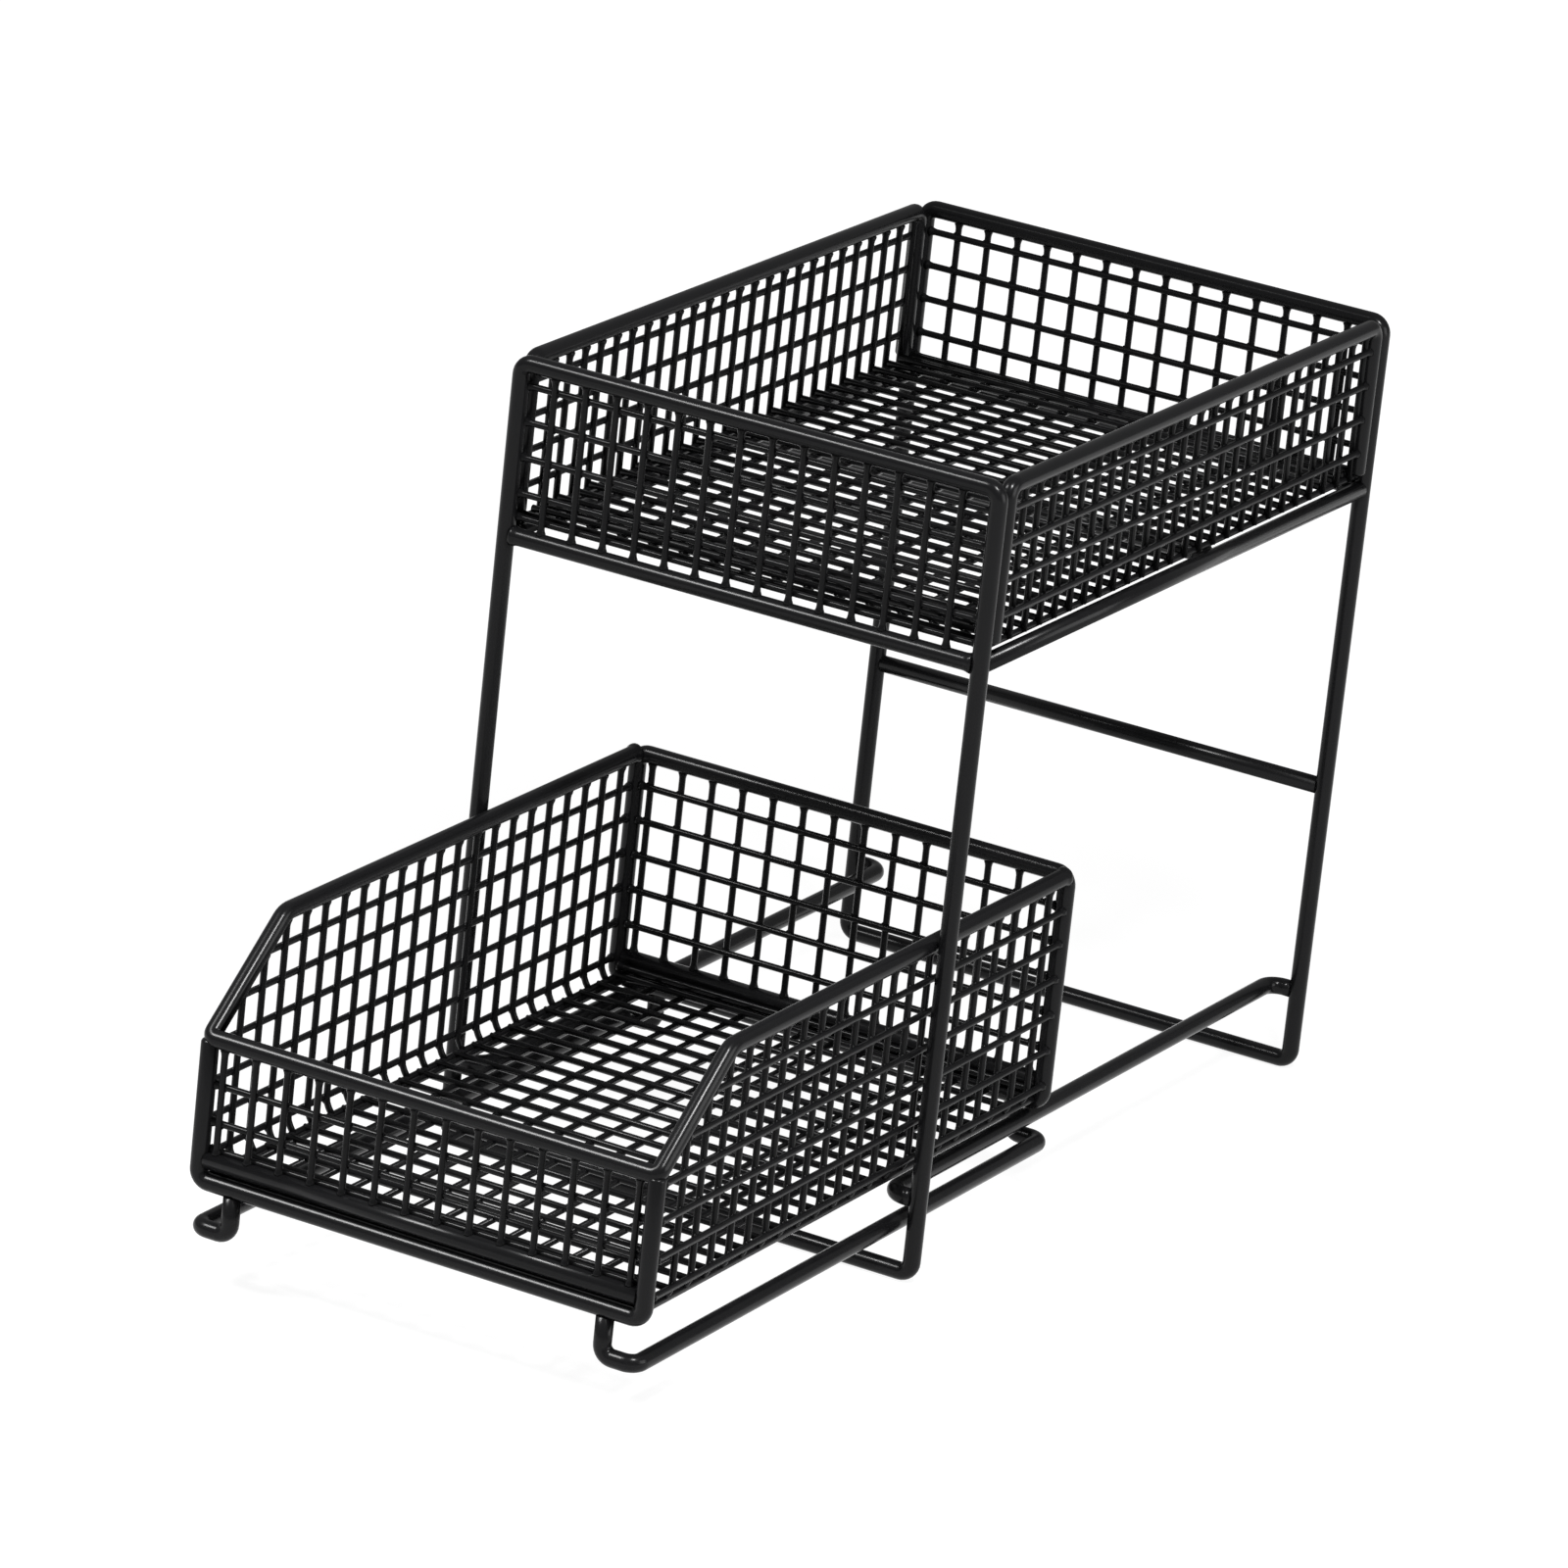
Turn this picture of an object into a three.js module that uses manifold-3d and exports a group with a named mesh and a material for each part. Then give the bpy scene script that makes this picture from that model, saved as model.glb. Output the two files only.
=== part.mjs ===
// Two-tier wire organizer rack: a mesh basket on a stand of bent wire, over a mesh drawer that
// slides out on wire rails. Millimetres, +X across, +Y from front to back, +Z up.
// The origin is the middle of the underside of the front floor bar. The drawer is partly pulled out.
import * as THREE from 'three';
import { mergeVertices } from 'three/addons/utils/BufferGeometryUtils.js';
import Module from 'manifold-3d';

const wasm = await Module();
wasm.setup();

// Stock: diameters of the frame wire and of the drawer's lower edge wires, and thickness of the mesh
// wires and of those that cross them.
const WIRE = 6.2;
const EDGE_WIRE = 2.8;
const MESH_WIRE = 2.2;
const MESH_CROSS_WIRE = 2.1;

// Clearances: at a weld, under the sliding drawer, and between the drawer and the legs.
const WELD_GAP = 0.3;
const SLIDE_GAP = 0.3;
const SIDE_CLEARANCE = 0.3;

// Stand: distances between wire centres.
const FRAME_WIDTH = 184;
const FRAME_DEPTH = 278.7;
const FRAME_HEIGHT = 277.2;
const FRAME_BEND = 4.2;
const CROSS_BAR_HEIGHT = 104.5;

// Basket: depth from the rim to the lower bars, the middle bar's distance from the front, and how
// far above the lower bars the side frames' uprights end.
const BASKET_DEPTH = 60.7;
const MIDDLE_BAR_Y = 166;
const UPRIGHT_END_RISE = 6.5;

// Slide rails: height above the floor bars, distance in from the legs, and end bends.
const RAIL_HEIGHT = 26.7;
const RAIL_INSET = 11.4;
const RAIL_BEND = 6;

// Drawer: distances between wire centres, heights taken from its lowest bars.
const DRAWER_PULLED_OUT = 171.5;
const DRAWER_LENGTH = 267.5;
const DRAWER_HEIGHT = 83.3;
const DRAWER_FRONT_HEIGHT = 49.9;
const DRAWER_SLANT_RUN = 39.7;
const DRAWER_FLOOR_RISE = 7.5;
const DRAWER_EDGE_RISE = 1.2;
const DRAWER_BEND = 4.2;
const SLANT_BEND = 8;
const RIM_CORNER_BEND = 3.8;

// Runners: drop below the drawer's lowest bars, and distances in from the drawer's sides.
const RUNNER_DROP = 16.3;
const RUNNER_INSET = 1.3;
const RUNNER_FOOT_INSET = 13.8;
const RUNNER_BEND = 4.2;

// Nets: wire spacing across, along and upwards, and the first level below each rim.
const NET_PITCH_X = 24.36;
const BASKET_NET_PITCH_Y = 20.69;
const DRAWER_NET_PITCH_Y = 24;
const NET_PITCH_Z = 25.7;
const BASKET_NET_FIRST = 8.35;
const DRAWER_NET_FIRST = 11.7;

// Roundness of the wire: sides of its section, and steps in a right-angle bend.
const SECTION_SIDES = 8;
const BEND_STEPS = 4;

const WIRE_R = WIRE / 2;
const EDGE_R = EDGE_WIRE / 2;
const MESH_R = MESH_WIRE / 2;
const LEG_X = FRAME_WIDTH / 2;
const FLOOR_Z = WIRE_R;
const RIM_Z = FLOOR_Z + FRAME_HEIGHT;
const LOWER_Z = RIM_Z - BASKET_DEPTH;
const UPRIGHT_END_Z = LOWER_Z + UPRIGHT_END_RISE;
const RAIL_Z = FLOOR_Z + RAIL_HEIGHT;

// A wire welded end-on stops this far short of the other wire's centre.
const BUTT = WIRE_R + WELD_GAP;
// Two wires welded side by side lie this far apart, and a net lying on a wire is this far above it.
const BESIDE = WIRE + WELD_GAP;
const NET_REST = WIRE_R + WELD_GAP + MESH_R;
// A net that meets another at a corner stops this far from the other net's middle.
const NET_CORNER = MESH_R + WELD_GAP;

const BLACK_WIRE = { color: 0x17181a, roughness: 0.36, metalness: 0.15 };
const BLACK_MESH = { color: 0x141517, roughness: 0.42, metalness: 0.15 };

const at = (x, y, z) => new THREE.Vector3(x, y, z);

// The centre line of a bent wire: straight runs joined by round bends at its corners.
class WirePath extends THREE.Curve {
  constructor(corners, bends, closed) {
    super();
    this.stations = [];
    this.tangents = [];
    const count = corners.length;
    corners.forEach((corner, i) => {
      const before = corners[(i + count - 1) % count];
      const after = corners[(i + 1) % count];
      if (!closed && (i === 0 || i === count - 1)) {
        const run = i === 0 ? after.clone().sub(corner) : corner.clone().sub(before);
        this.add(corner, run);
      } else {
        this.bend(before, corner, after, Array.isArray(bends) ? bends[i] : bends);
      }
    });
    if (closed) {
      this.add(this.stations[0], this.tangents[0]);
    }
  }

  add(point, tangent) {
    this.stations.push(point.clone());
    this.tangents.push(tangent.clone().normalize());
  }

  bend(before, corner, after, radius) {
    const into = corner.clone().sub(before).normalize();
    const out = after.clone().sub(corner).normalize();
    const angle = into.angleTo(out);
    const start = corner.clone().addScaledVector(into, -radius * Math.tan(angle / 2));
    const axis = into.clone().cross(out).normalize();
    const centre = start.clone().addScaledVector(axis.clone().cross(into), radius);
    const steps = Math.max(1, Math.round((angle / (Math.PI / 2)) * BEND_STEPS));
    for (let step = 0; step <= steps; step += 1) {
      const turn = (angle * step) / steps;
      const arm = start.clone().sub(centre).applyAxisAngle(axis, turn);
      this.add(centre.clone().add(arm), into.clone().applyAxisAngle(axis, turn));
    }
  }

  getSpacedPoints() {
    return this.stations;
  }

  getTangentAt(u) {
    return this.tangents[Math.round(u * (this.stations.length - 1))].clone();
  }
}

// The wire's section has flats that face along the axes, one wire diameter apart.
function sectionPoints(radius) {
  const reach = radius / Math.cos(Math.PI / SECTION_SIDES);
  return Array.from({ length: SECTION_SIDES }, (_, i) => {
    const angle = ((i + 0.5) * 2 * Math.PI) / SECTION_SIDES;
    return new THREE.Vector2(reach * Math.cos(angle), reach * Math.sin(angle));
  });
}

// A wire with two ends.
function openWire(corners, bends = FRAME_BEND, radius = WIRE_R) {
  const path = new WirePath(corners, bends, false);
  const section = new THREE.Shape(sectionPoints(radius));
  return new THREE.ExtrudeGeometry(section, { steps: path.stations.length - 1, extrudePath: path });
}

// A wire whose ends are welded together into a loop.
function closedWire(corners, bends = FRAME_BEND) {
  const path = new WirePath(corners, bends, true);
  const rings = path.stations.length - 1;
  const frames = path.computeFrenetFrames(rings);
  const points = [];
  const faces = [];
  for (let ring = 0; ring < rings; ring += 1) {
    sectionPoints(WIRE_R).forEach((spot, side) => {
      const point = path.stations[ring].clone();
      point.addScaledVector(frames.normals[ring], spot.x);
      point.addScaledVector(frames.binormals[ring], spot.y);
      points.push(point);
      const here = ring * SECTION_SIDES;
      const next = ((ring + 1) % rings) * SECTION_SIDES;
      const beside = (side + 1) % SECTION_SIDES;
      faces.push(here + side, here + beside, next + beside);
      faces.push(here + side, next + beside, next + side);
    });
  }
  const geometry = new THREE.BufferGeometry().setFromPoints(points);
  geometry.setIndex(faces);
  geometry.computeVertexNormals();
  return geometry;
}

function solidOf(geometry) {
  geometry.deleteAttribute('normal');
  geometry.deleteAttribute('uv');
  const merged = mergeVertices(geometry);
  return new wasm.Manifold(new wasm.Mesh({
    numProp: 3,
    vertProperties: merged.attributes.position.array,
    triVerts: Uint32Array.from(merged.index.array),
  }));
}

function geometryOf(solid) {
  const mesh = solid.getMesh();
  const geometry = new THREE.BufferGeometry();
  geometry.setAttribute('position', new THREE.BufferAttribute(mesh.vertProperties, 3));
  geometry.setIndex(new THREE.BufferAttribute(mesh.triVerts, 1));
  geometry.computeVertexNormals();
  return geometry;
}

// One mesh wire along an axis, between two points.
function meshBar(from, to, thickness) {
  const size = to.clone().sub(from);
  const middle = from.clone().add(to).multiplyScalar(0.5);
  const side = (length) => (length > 0 ? length : thickness);
  const box = new THREE.BoxGeometry(side(size.x), side(size.y), side(size.z));
  return box.translate(middle.x, middle.y, middle.z);
}

// A flat net of mesh wires and the wires welded across them, each a pair of points in its plane.
function net(wires, crossWires, place) {
  const solids = (pairs, thickness) =>
    pairs.map(([from, to]) => solidOf(meshBar(place(...from), place(...to), thickness)));
  const bars = [...solids(wires, MESH_WIRE), ...solids(crossWires, MESH_CROSS_WIRE)];
  return geometryOf(bars.reduce((whole, bar) => whole.add(bar)));
}

// Evenly spaced places between two limits, centred.
function spread(low, high, pitch) {
  const count = Math.max(2, Math.floor((high - low) / pitch));
  return Array.from({ length: count }, (_, i) => (low + high) / 2 + (i - (count - 1) / 2) * pitch);
}

// Levels below a rim, down to a limit.
function levels(rim, first, pitch, limit) {
  const heights = [];
  for (let height = rim - first; height > limit; height -= pitch) {
    heights.push(height);
  }
  return heights;
}

function piece(group, name, geometry, finish = BLACK_WIRE) {
  const mesh = new THREE.Mesh(geometry, new THREE.MeshStandardMaterial(finish));
  mesh.name = name;
  group.add(mesh);
}

// A closed upright loop across the object, and a straight bar across it.
const loopAcross = (x, y, low, high, bend) =>
  closedWire([at(-x, y, low), at(x, y, low), at(x, y, high), at(-x, y, high)], bend);
const barAcross = (reach, y, z) => openWire([at(-reach, y, z), at(reach, y, z)]);

const SIDES = [['left', -1], ['right', 1]];

function buildRack() {
  const rack = new THREE.Group();
  rack.name = 'rack';
  const between = LEG_X - BUTT;
  piece(rack, 'front_frame', loopAcross(LEG_X, 0, FLOOR_Z, RIM_Z, FRAME_BEND));
  piece(rack, 'rear_frame', loopAcross(LEG_X, FRAME_DEPTH, FLOOR_Z, RIM_Z, FRAME_BEND));
  piece(rack, 'rear_cross_bar', barAcross(between, FRAME_DEPTH, FLOOR_Z + CROSS_BAR_HEIGHT));
  piece(rack, 'basket_front_bar', barAcross(between, 0, LOWER_Z));
  piece(rack, 'basket_rear_bar', barAcross(between, FRAME_DEPTH, LOWER_Z));
  piece(rack, 'basket_middle_bar', barAcross(between, MIDDLE_BAR_Y, LOWER_Z));
  const railX = LEG_X - RAIL_INSET;
  for (const [side, sign] of SIDES) {
    const x = sign * LEG_X;
    piece(rack, `basket_${side}_frame`, openWire([
      at(x, BESIDE, UPRIGHT_END_Z),
      at(x, BESIDE, RIM_Z),
      at(x, FRAME_DEPTH - BESIDE, RIM_Z),
      at(x, FRAME_DEPTH - BESIDE, UPRIGHT_END_Z),
    ]));
    piece(rack, `basket_${side}_low_rail`, openWire([
      at(x, BUTT, LOWER_Z),
      at(x, FRAME_DEPTH - BUTT, LOWER_Z),
    ]));
    piece(rack, `${side}_slide_rail`, openWire([
      at(sign * between, 0, RAIL_Z),
      at(sign * railX, 0, RAIL_Z),
      at(sign * railX, FRAME_DEPTH, RAIL_Z),
      at(sign * between, FRAME_DEPTH, RAIL_Z),
    ], RAIL_BEND));
  }

  // Basket nets lie in the planes of their frames. The sides reach down to the floor net, which
  // rests on the lower bars.
  const floorZ = LOWER_Z + NET_REST;
  const sideEnd = BESIDE + BUTT;
  const floorX = LEG_X - NET_CORNER;
  const floorEnds = [NET_CORNER, FRAME_DEPTH - NET_CORNER];
  const columnsX = spread(-between, between, NET_PITCH_X);
  const columnsY = spread(sideEnd, FRAME_DEPTH - sideEnd, BASKET_NET_PITCH_Y);
  const rows = levels(RIM_Z, BASKET_NET_FIRST, NET_PITCH_Z, floorZ + MESH_WIRE);
  const top = RIM_Z - BUTT;
  const crossNet = (y) => net(
    columnsX.map((x) => [[x, LOWER_Z + BUTT], [x, top]]),
    rows.map((z) => [[-between, z], [between, z]]),
    (x, z) => at(x, y, z),
  );
  piece(rack, 'basket_front_net', crossNet(0), BLACK_MESH);
  piece(rack, 'basket_rear_net', crossNet(FRAME_DEPTH), BLACK_MESH);
  for (const [side, sign] of SIDES) {
    piece(rack, `basket_${side}_net`, net(
      columnsY.map((y) => [[y, floorZ - MESH_R], [y, top]]),
      [
        ...rows.map((z) => [[sideEnd, z], [FRAME_DEPTH - sideEnd, z]]),
        [[BUTT, floorZ], [FRAME_DEPTH - BUTT, floorZ]],
      ],
      (y, z) => at(sign * LEG_X, y, z),
    ), BLACK_MESH);
  }
  piece(rack, 'basket_floor_net', net(
    columnsX.map((x) => [[x, floorEnds[0]], [x, floorEnds[1]]]),
    columnsY.map((y) => [[-floorX, y], [floorX, y]]),
    (x, y) => at(x, y, floorZ),
  ), BLACK_MESH);
  return rack;
}

function buildDrawer() {
  const drawer = new THREE.Group();
  drawer.name = 'drawer';
  drawer.position.y = -DRAWER_PULLED_OUT;
  const sideX = LEG_X - WIRE - SIDE_CLEARANCE;
  const between = sideX - BUTT;
  const lowZ = RAIL_Z + WIRE + SLIDE_GAP;
  const floorZ = lowZ + DRAWER_FLOOR_RISE;
  const edgeZ = lowZ + DRAWER_EDGE_RISE;
  const rimZ = lowZ + DRAWER_HEIGHT;
  const frontZ = lowZ + DRAWER_FRONT_HEIGHT;
  const rearY = DRAWER_LENGTH;
  piece(drawer, 'drawer_front_wire', openWire([
    at(-sideX, 0, frontZ - BUTT),
    at(-sideX, 0, lowZ),
    at(sideX, 0, lowZ),
    at(sideX, 0, frontZ - BUTT),
  ], DRAWER_BEND));
  piece(drawer, 'drawer_rear_frame', loopAcross(sideX, rearY, lowZ, rimZ, DRAWER_BEND));
  piece(drawer, 'drawer_front_floor_bar', barAcross(between, 0, floorZ));
  piece(drawer, 'drawer_rear_floor_bar', barAcross(between, rearY, floorZ));

  // One wire makes both side rims, their slanted fronts and the front rim.
  piece(drawer, 'drawer_top_wire', openWire([
    at(-sideX, rearY - BUTT, rimZ),
    at(-sideX, DRAWER_SLANT_RUN, rimZ),
    at(-sideX, 0, frontZ),
    at(sideX, 0, frontZ),
    at(sideX, DRAWER_SLANT_RUN, rimZ),
    at(sideX, rearY - BUTT, rimZ),
  ], [0, SLANT_BEND, RIM_CORNER_BEND, RIM_CORNER_BEND, SLANT_BEND, 0]));

  // The runners' front feet stand under the lowest bar, the rear ones lie behind the rear bars.
  const runnerX = sideX - RUNNER_INSET;
  const footX = sideX - RUNNER_FOOT_INSET;
  const runnerZ = lowZ - RUNNER_DROP;
  const edgeX = sideX - NET_CORNER - EDGE_R;
  for (const [side, sign] of SIDES) {
    piece(drawer, `drawer_${side}_floor_wire`, openWire([
      at(sign * edgeX, BUTT, edgeZ),
      at(sign * edgeX, rearY - BUTT, edgeZ),
    ], 0, EDGE_R));
    piece(drawer, `drawer_${side}_runner`, openWire([
      at(sign * footX, 0, lowZ - BUTT),
      at(sign * footX, 0, runnerZ),
      at(sign * runnerX, 0, runnerZ),
      at(sign * runnerX, rearY + BESIDE, runnerZ),
      at(sign * footX, rearY + BESIDE, runnerZ),
      at(sign * footX, rearY + BESIDE, floorZ),
    ], RUNNER_BEND));
  }

  // Drawer nets lie in the planes of their frames, the floor between the lowest bars and the edge
  // wires. The side nets stop below the slanted rim.
  const ends = [BUTT, rearY - BUTT];
  const floorX = edgeX - EDGE_R - WELD_GAP;
  const columnsX = spread(-between, between, NET_PITCH_X);
  const columnsY = spread(...ends, DRAWER_NET_PITCH_Y);
  const rows = levels(rimZ, DRAWER_NET_FIRST, NET_PITCH_Z, floorZ + BUTT);
  const slant = Math.atan2(rimZ - frontZ, DRAWER_SLANT_RUN);
  const below = BUTT / Math.cos(slant);
  const bendCut = SLANT_BEND * (1 / Math.cos(slant / 2) - 1);
  const slantZ = (y) => frontZ + (y - MESH_R) * Math.tan(slant) - below;
  const columnTop = (y) => Math.min(rimZ - BUTT, slantZ(y)) - bendCut;
  const rowStart = (z) => Math.max(BUTT, (z + MESH_R + below - frontZ) / Math.tan(slant));
  const crossNet = (y, rim) => net(
    columnsX.map((x) => [[x, floorZ + BUTT], [x, rim - BUTT]]),
    rows.filter((z) => z < rim - WIRE).map((z) => [[-between, z], [between, z]]),
    (x, z) => at(x, y, z),
  );
  piece(drawer, 'drawer_front_net', crossNet(0, frontZ), BLACK_MESH);
  piece(drawer, 'drawer_rear_net', crossNet(rearY, rimZ), BLACK_MESH);
  for (const [side, sign] of SIDES) {
    piece(drawer, `drawer_${side}_net`, net(
      columnsY.map((y) => [[y, edgeZ - MESH_R], [y, columnTop(y)]]),
      [...rows, edgeZ].map((z) => [[rowStart(z), z], [ends[1], z]]),
      (y, z) => at(sign * sideX, y, z),
    ), BLACK_MESH);
  }
  piece(drawer, 'drawer_floor_net', net(
    columnsX.map((x) => [[x, ends[0]], [x, ends[1]]]),
    columnsY.map((y) => [[-floorX, y], [floorX, y]]),
    (x, y) => at(x, y, edgeZ),
  ), BLACK_MESH);
  return drawer;
}

const organizer = new THREE.Group();
organizer.name = 'organizer_rack';
organizer.add(buildRack(), buildDrawer());

export default organizer;
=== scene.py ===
"""Looks of a two-tier wire organizer rack in black powder-coated steel wire.

A stand of bent wire carries a mesh basket, and a mesh drawer slides on two rails under it.
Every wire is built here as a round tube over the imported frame. Sizes are in millimetres in the
row frame: +X across, +Y from front to back, +Z up.
"""

from __future__ import annotations

import logging
import math
from collections.abc import Iterable, Sequence
from dataclasses import dataclass, field
from enum import Enum

import bpy
from mathutils import Matrix, Quaternion, Vector

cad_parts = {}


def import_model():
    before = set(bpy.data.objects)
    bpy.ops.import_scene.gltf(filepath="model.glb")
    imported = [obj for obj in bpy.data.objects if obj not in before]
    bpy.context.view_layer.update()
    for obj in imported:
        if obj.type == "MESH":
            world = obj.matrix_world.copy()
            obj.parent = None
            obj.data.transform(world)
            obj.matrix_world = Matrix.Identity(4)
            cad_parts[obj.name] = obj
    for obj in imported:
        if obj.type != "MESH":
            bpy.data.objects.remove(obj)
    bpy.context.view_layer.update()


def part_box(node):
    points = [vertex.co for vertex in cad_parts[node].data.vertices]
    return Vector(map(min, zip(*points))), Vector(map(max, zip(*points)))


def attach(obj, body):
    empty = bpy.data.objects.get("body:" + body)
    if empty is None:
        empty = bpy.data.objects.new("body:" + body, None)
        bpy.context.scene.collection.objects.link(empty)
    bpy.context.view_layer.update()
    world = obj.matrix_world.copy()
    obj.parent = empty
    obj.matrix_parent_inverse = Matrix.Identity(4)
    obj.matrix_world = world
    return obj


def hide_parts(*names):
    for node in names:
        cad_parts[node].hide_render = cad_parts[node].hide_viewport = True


LOG = logging.getLogger("organizer_rack")
MM = 0.001

X = Vector((1, 0, 0))
Y = Vector((0, 1, 0))
Z = Vector((0, 0, 1))

# A wire is steep where its unit direction rises or falls by at least this much.
STEEP = 0.9
# The points in a weld bead's outline.
BEAD_POINTS = 8
# A colour Mix node's sockets go by number, as its names repeat for each type of data.
MIX_FACTOR, MIX_FIRST, MIX_SECOND, MIX_RESULT = 0, 6, 7, 2
WHITE = (1.0, 1.0, 1.0, 1.0)

Number = float | int
# A weld bead as Shape.bead takes it: its centre, its three half sizes and its fill.
Lens = tuple[Vector, Vector, Vector, Vector, float]


class Body(Enum):
    """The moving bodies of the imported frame."""

    RACK = "rack"
    DRAWER = "drawer"


class Slot(Enum):
    """The record's material slots."""

    WIRE = "coated_wire"
    MESH = "coated_mesh"


class WireEnd(Enum):
    """How a wire ends: pairs of distance from the end and girth, both in wire radii."""

    SUNK = ((0.0, 1.0),)
    CUT = ((0.0, 0.72), (0.1, 0.88), (0.32, 1.0))
    BUTT_WELD = ((0.0, 1.17), (0.3, 1.15), (0.6, 1.06), (0.95, 1.0))
    MESH_WELD = ((0.0, 1.5), (0.7, 1.38), (1.3, 1.13), (2.1, 1.0))


class Side(Enum):
    """The two mirrored sides of the object."""

    LEFT = -1
    RIGHT = 1

    @property
    def word(self) -> str:
        """The side's name as the frame's nodes spell it."""
        return self.name.lower()


class Signal:
    """A shader output that takes part in plain arithmetic."""

    def __init__(self, bench: NodeBench, socket: bpy.types.NodeSocket) -> None:
        """Wraps one output socket."""
        self.bench = bench
        self.socket = socket

    def _math(self, operation: str, first: Signal | Number, second: Signal | Number) -> Signal:
        """One Math node of two operands."""
        return self.bench.signal("ShaderNodeMath", 0, {"operation": operation}, {0: first, 1: second})

    def __add__(self, other: Signal | Number) -> Signal:
        """Adds a signal or a number."""
        return self._math("ADD", self, other)

    def __radd__(self, other: Number) -> Signal:
        """Adds this signal to a number."""
        return self._math("ADD", other, self)

    def __mul__(self, other: Signal | Number) -> Signal:
        """Multiplies by a signal or a number."""
        return self._math("MULTIPLY", self, other)

    def at_most(self, limit: Signal | Number) -> Signal:
        """The smaller of this signal and a limit."""
        return self._math("MINIMUM", self, limit)


class NodeBench:
    """Places nodes in one shader tree."""

    def __init__(self, tree: bpy.types.NodeTree) -> None:
        """Takes a tree and clears it."""
        self.tree = tree
        tree.nodes.clear()

    def node(
        self,
        kind: str,
        settings: dict[str, object] | None = None,
        sockets: dict[str | int, object] | None = None,
    ) -> bpy.types.Node:
        """Adds a node.

        Args:
            kind: the node's type name.
            settings: properties, set before the sockets.
            sockets: values or signals for the inputs, by name or number.

        Returns:
            The new node.
        """
        made = self.tree.nodes.new(kind)
        for key, value in (settings or {}).items():
            setattr(made, key, value)
        for key, value in (sockets or {}).items():
            if isinstance(value, Signal):
                self.tree.links.new(value.socket, made.inputs[key])
            else:
                made.inputs[key].default_value = value
        return made

    def signal(
        self,
        kind: str,
        output: str | int,
        settings: dict[str, object] | None = None,
        sockets: dict[str | int, object] | None = None,
    ) -> Signal:
        """Adds a node and picks one of its outputs.

        Args:
            kind: the node's type name.
            output: the output's name or number.
            settings: properties, set before the sockets.
            sockets: values or signals for the inputs, by name or number.

        Returns:
            The output as a signal.
        """
        return Signal(self, self.node(kind, settings, sockets).outputs[output])


@dataclass(frozen=True)
class PowderCoat:
    """A black powder coat: slight tone drift, uneven gloss and a fine orange-peel surface.

    Its tone drifts between deep and pale, and its gloss between the two roughness values.
    """

    name: str
    deep: tuple[float, float, float, float]
    pale: tuple[float, float, float, float]
    low_roughness: float
    high_roughness: float
    specular: float
    drift_scale: float = 42.0
    drift_detail: float = 3.0
    gloss_scale: float = 240.0
    gloss_detail: float = 2.0
    peel_scale: float = 1100.0
    peel_detail: float = 1.0
    peel_height: float = 0.00002
    peel_strength: float = 0.15
    noise_roughness: float = 0.5

    def material(self) -> bpy.types.Material:
        """Builds the material."""
        made = bpy.data.materials.new(self.name)
        made.use_nodes = True
        bench = NodeBench(made.node_tree)
        place = bench.signal("ShaderNodeTexCoord", "Object")
        drift = self._noise(bench, place, self.drift_scale, self.drift_detail)
        gloss = self._noise(bench, place, self.gloss_scale, self.gloss_detail)
        peel = self._noise(bench, place, self.peel_scale, self.peel_detail)
        tone = bench.signal(
            "ShaderNodeMix",
            MIX_RESULT,
            {"data_type": "RGBA"},
            {MIX_FACTOR: drift, MIX_FIRST: self.deep, MIX_SECOND: self.pale},
        )
        bump = bench.signal(
            "ShaderNodeBump",
            "Normal",
            None,
            {"Strength": self.peel_strength, "Distance": self.peel_height, "Height": peel},
        )
        coat = bench.signal(
            "ShaderNodeBsdfPrincipled",
            "BSDF",
            None,
            {
                "Base Color": tone,
                "Roughness": self.low_roughness + gloss * (self.high_roughness - self.low_roughness),
                "Specular IOR Level": self.specular,
                "Normal": bump,
            },
        )
        bench.node("ShaderNodeOutputMaterial", None, {"Surface": coat})
        return made

    def _noise(self, bench: NodeBench, place: Signal, scale: float, detail: float) -> Signal:
        """A cloudy pattern with cells of about one over the scale in metres."""
        sockets = {"Vector": place, "Scale": scale, "Detail": detail, "Roughness": self.noise_roughness}
        return bench.signal("ShaderNodeTexNoise", 0, None, sockets)


@dataclass(frozen=True)
class Station:
    """A point on a wire's centre line, with its direction and relative girth."""

    point: Vector
    heading: Vector
    girth: float = 1.0


@dataclass(frozen=True)
class WireRoute:
    """The centre line of a bent wire: straight runs joined by round bends."""

    corners: tuple[Vector, ...]
    bends: tuple[float, ...] | float = 0.0
    closed: bool = False
    quarter_steps: int = 8

    def stations(self) -> list[Station]:
        """The points to sweep a section along."""
        found: list[Station] = []
        count = len(self.corners)
        for i, corner in enumerate(self.corners):
            before = self.corners[i - 1]
            after = self.corners[(i + 1) % count]
            if not self.closed and i in (0, count - 1):
                run = after - corner if i == 0 else corner - before
                found.append(Station(corner.copy(), run.normalized()))
            else:
                bend = self.bends[i] if isinstance(self.bends, tuple) else self.bends
                found.extend(self._bend(before, corner, after, bend))
        return found

    def _bend(self, before: Vector, corner: Vector, after: Vector, radius: float) -> list[Station]:
        """The stations of one bend."""
        into = (corner - before).normalized()
        out = (after - corner).normalized()
        angle = into.angle(out)
        start = corner - into * (radius * math.tan(angle / 2))
        axis = into.cross(out).normalized()
        centre = start + axis.cross(into) * radius
        steps = max(2, round(angle / (math.pi / 2) * self.quarter_steps))
        turns = [Quaternion(axis, angle * step / steps) for step in range(steps + 1)]
        return [Station(centre + turn @ (start - centre), turn @ into) for turn in turns]


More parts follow.
